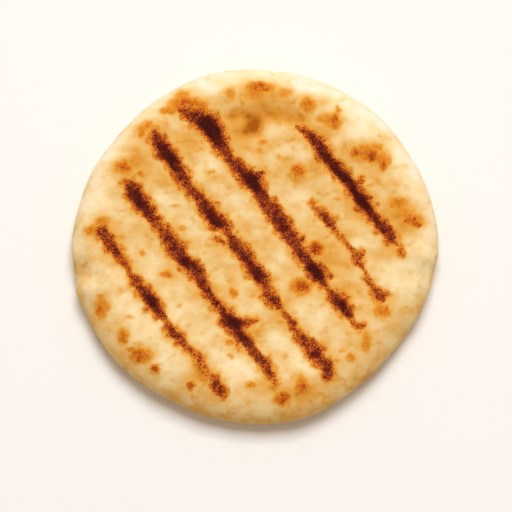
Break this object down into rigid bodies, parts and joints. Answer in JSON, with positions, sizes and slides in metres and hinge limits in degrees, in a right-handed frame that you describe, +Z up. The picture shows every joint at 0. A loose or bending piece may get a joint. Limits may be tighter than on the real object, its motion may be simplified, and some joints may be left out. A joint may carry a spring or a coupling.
{
  "type": "pita bread",
  "caption": "Round griddled pita bread: a thick soft disc with a rounded rim, a lightly dimpled top with dark grill stripes, and a flat underside to rest on.",
  "frame": {"origin": "under the middle of the bread, on the surface that it lies on", "axes": "+Z up through the bread, from its flat underside to its grilled top; +X to the side and +Y to the back, with the grill stripes running from -X +Y towards +X -Y"},
  "size_m": [0.165, 0.162, 0.019],
  "materials": {
    "crust": "matte"
  },
  "bodies": {
    "root": {"pita_bread": "crust"}
  },
  "joints": []
}
